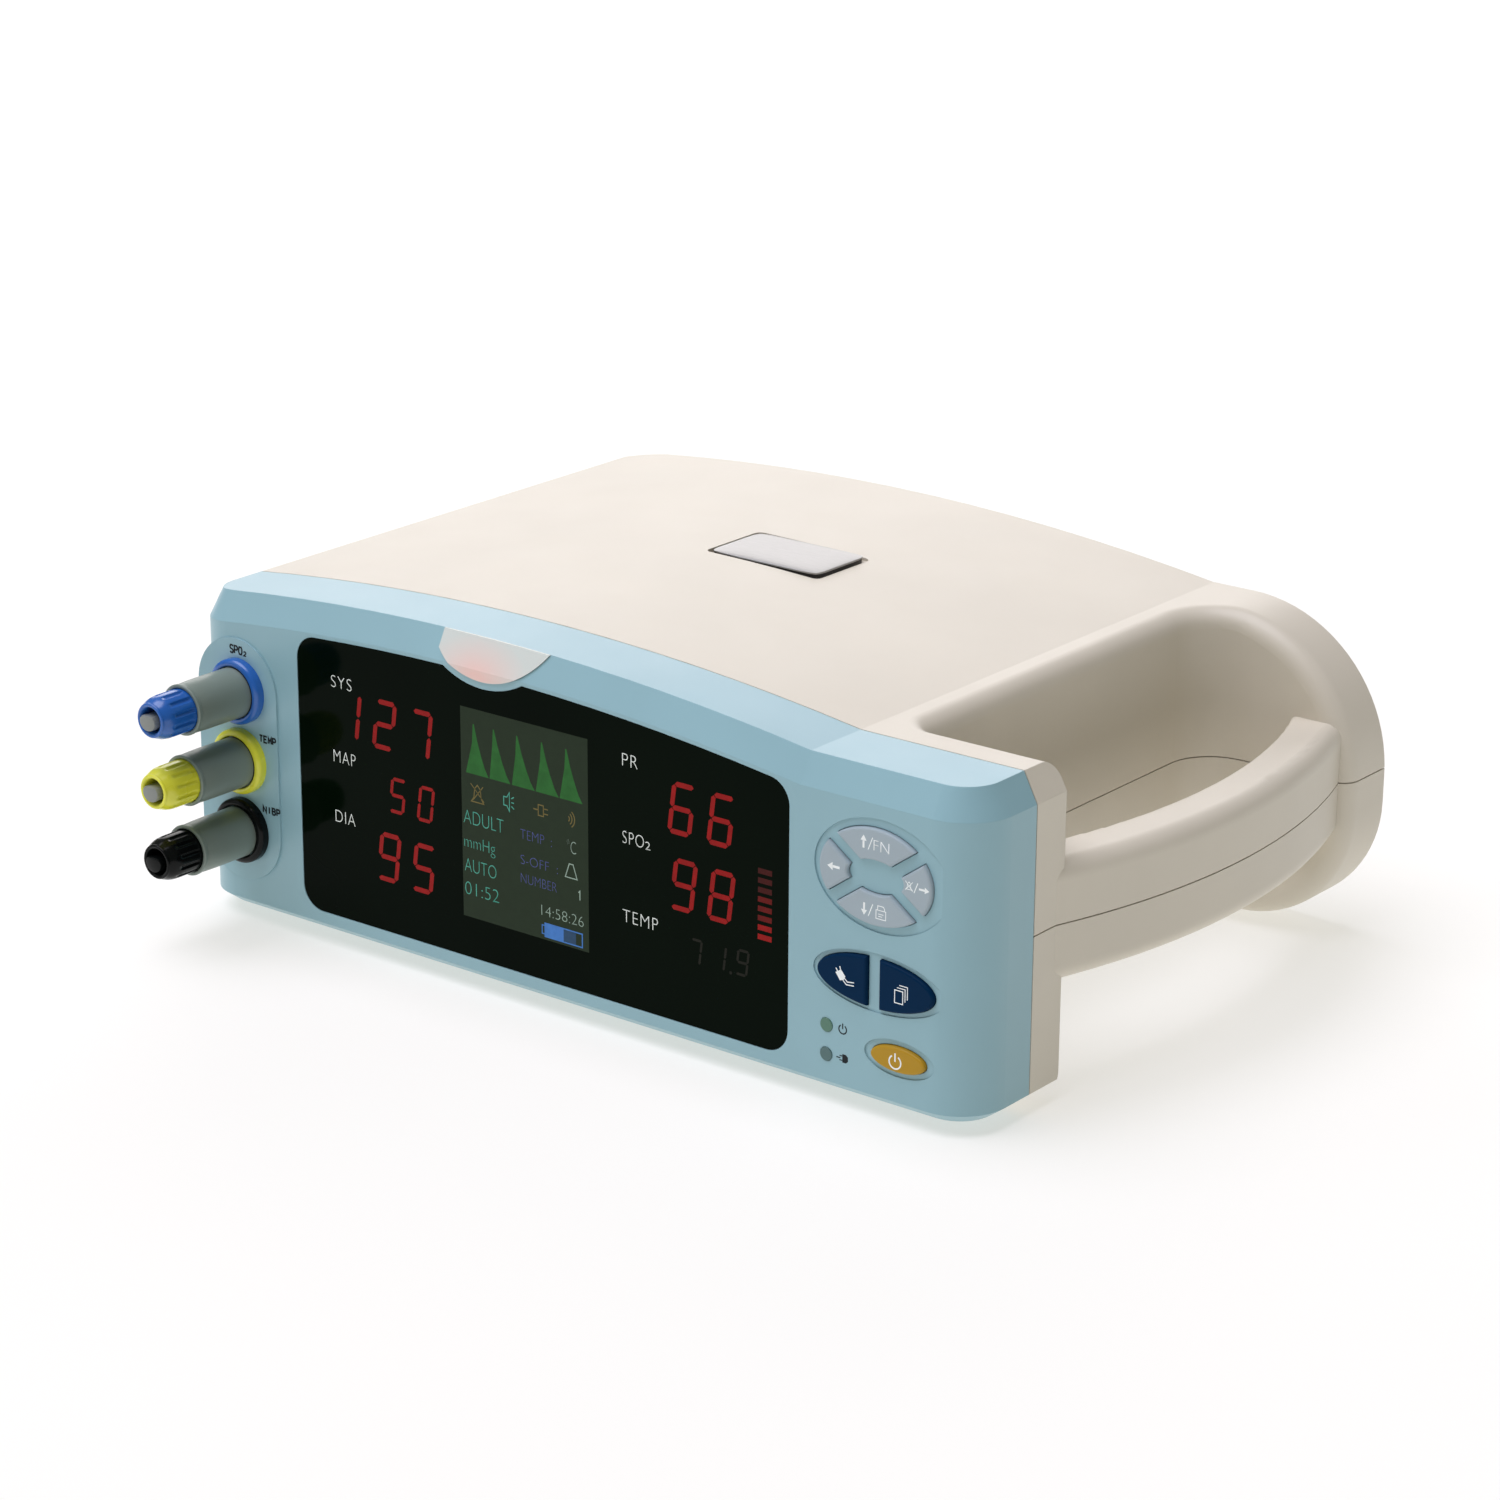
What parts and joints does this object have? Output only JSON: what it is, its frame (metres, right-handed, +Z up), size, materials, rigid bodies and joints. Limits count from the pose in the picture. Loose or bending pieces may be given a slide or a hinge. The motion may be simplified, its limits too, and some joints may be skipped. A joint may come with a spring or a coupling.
{
  "type": "patient monitor",
  "caption": "Compact bedside patient monitor with a numeric and graphic display, sprung keys, push-fit patient leads on the left and a bowed carrying handle on the right.",
  "frame": {"origin": "on the ground under the middle of the whole object's bounding box, plugs and handle included", "axes": "+Z up; the display faces -Y; +X runs along the front from the patient leads to the carrying handle"},
  "size_m": [0.2814, 0.2282, 0.1009],
  "materials": {
    "bezel_plastic": "satin-gloss moulded, blue-green",
    "cover_plastic": "fine-textured moulded, warm off-white",
    "badge_metal": "satin domed label plate",
    "window_plastic": "smoked acrylic, polished",
    "lens_plastic": "milky translucent lens",
    "key_grey": "satin, grey-lilac",
    "key_navy": "satin, dark blue",
    "key_orange": "satin, orange",
    "indicator_plastic": "small clear lens",
    "socket_plastic": "black insulator",
    "plug_grey": "satin grey moulding",
    "blue_nut": "ribbed, blue",
    "yellow_nut": "ribbed, yellow",
    "black_nut": "ribbed, black",
    "collet_plastic": "grey collet end",
    "contact_brass": "plain",
    "board_green": "printed circuit board with parts",
    "module_dark": "display module case",
    "black_plastic": "moulded",
    "steel": "zinc plated",
    "rubber_black": "soft",
    "hose_rubber": "silicone tube",
    "battery_wrap": "shrink-wrapped cells",
    "ribbon": "flat cable"
  },
  "bodies": {
    "monitor": {"front_bezel": "bezel_plastic", "top_cover": "cover_plastic", "bottom_cover": "cover_plastic", "badge_plate": "badge_metal", "rubber_feet": "rubber_black", "display_window": "window_plastic", "alarm_lens": "lens_plastic", "power_indicator": "indicator_plastic", "charge_indicator": "indicator_plastic", "display_board": "board_green", "digit_modules": "module_dark", "bar_graph": "module_dark", "lcd_module": "module_dark", "key_board": "board_green", "key_switches": "black_plastic", "alarm_light_board": "board_green", "main_board": "board_green", "power_supply_board": "board_green", "display_ribbon": "ribbon", "mains_inlet": "black_plastic", "data_port": "black_plastic", "ground_terminal": "contact_brass", "speaker": "black_plastic", "air_hose": "hose_rubber", "nibp_pump": "steel", "pump_bracket": "steel", "nibp_valve": "black_plastic", "battery_pack": "battery_wrap", "battery_cover": "cover_plastic", "battery_cover_screws": "steel", "cover_screws": "steel", "bezel_screws": "steel", "board_screws": "steel", "spo2_socket_nut": "blue_nut", "spo2_socket_body": "socket_plastic", "temp_socket_nut": "yellow_nut", "temp_socket_body": "socket_plastic", "nibp_socket_nut": "black_nut", "nibp_socket_body": "socket_plastic"},
    "up_key_body": {"up_key": "key_grey"},
    "down_key_body": {"down_key": "key_grey"},
    "left_key_body": {"left_key": "key_grey"},
    "right_key_body": {"right_key": "key_grey"},
    "cuff_key_body": {"cuff_key": "key_navy"},
    "pages_key_body": {"pages_key": "key_navy"},
    "power_key_body": {"power_key": "key_orange"},
    "spo2_plug": {"spo2_plug_core": "socket_plastic", "spo2_plug_shell": "plug_grey", "spo2_collet_nut": "blue_nut", "spo2_plug_collet": "collet_plastic"},
    "temp_plug": {"temp_plug_core": "socket_plastic", "temp_plug_shell": "plug_grey", "temp_collet_nut": "yellow_nut", "temp_plug_collet": "collet_plastic"},
    "nibp_plug": {"nibp_plug_core": "socket_plastic", "nibp_plug_shell": "plug_grey", "nibp_collet_nut": "black_nut", "nibp_plug_collet": "collet_plastic"}
  },
  "joints": [
    {"name": "up_key_press", "type": "slide", "parent": "monitor", "child": "up_key_body", "axis": [0, 1, 0], "range_m": [0, 0.001], "stiffness_N_per_m": 400},
    {"name": "down_key_press", "type": "slide", "parent": "monitor", "child": "down_key_body", "axis": [0, 1, 0], "range_m": [0, 0.001], "stiffness_N_per_m": 400},
    {"name": "left_key_press", "type": "slide", "parent": "monitor", "child": "left_key_body", "axis": [0, 1, 0], "range_m": [0, 0.001], "stiffness_N_per_m": 400},
    {"name": "right_key_press", "type": "slide", "parent": "monitor", "child": "right_key_body", "axis": [0, 1, 0], "range_m": [0, 0.001], "stiffness_N_per_m": 400},
    {"name": "cuff_key_press", "type": "slide", "parent": "monitor", "child": "cuff_key_body", "axis": [0, 1, 0], "range_m": [0, 0.001], "stiffness_N_per_m": 400},
    {"name": "pages_key_press", "type": "slide", "parent": "monitor", "child": "pages_key_body", "axis": [0, 1, 0], "range_m": [0, 0.001], "stiffness_N_per_m": 400},
    {"name": "power_key_press", "type": "slide", "parent": "monitor", "child": "power_key_body", "axis": [0, 1, 0], "range_m": [0, 0.001], "stiffness_N_per_m": 400},
    {"name": "spo2_plug_pull", "type": "slide", "parent": "monitor", "child": "spo2_plug", "axis": [0, -1, 0], "range_m": [0, 0.016]},
    {"name": "temp_plug_pull", "type": "slide", "parent": "monitor", "child": "temp_plug", "axis": [0, -1, 0], "range_m": [0, 0.016]},
    {"name": "nibp_plug_pull", "type": "slide", "parent": "monitor", "child": "nibp_plug", "axis": [0, -1, 0], "range_m": [0, 0.016]}
  ]
}
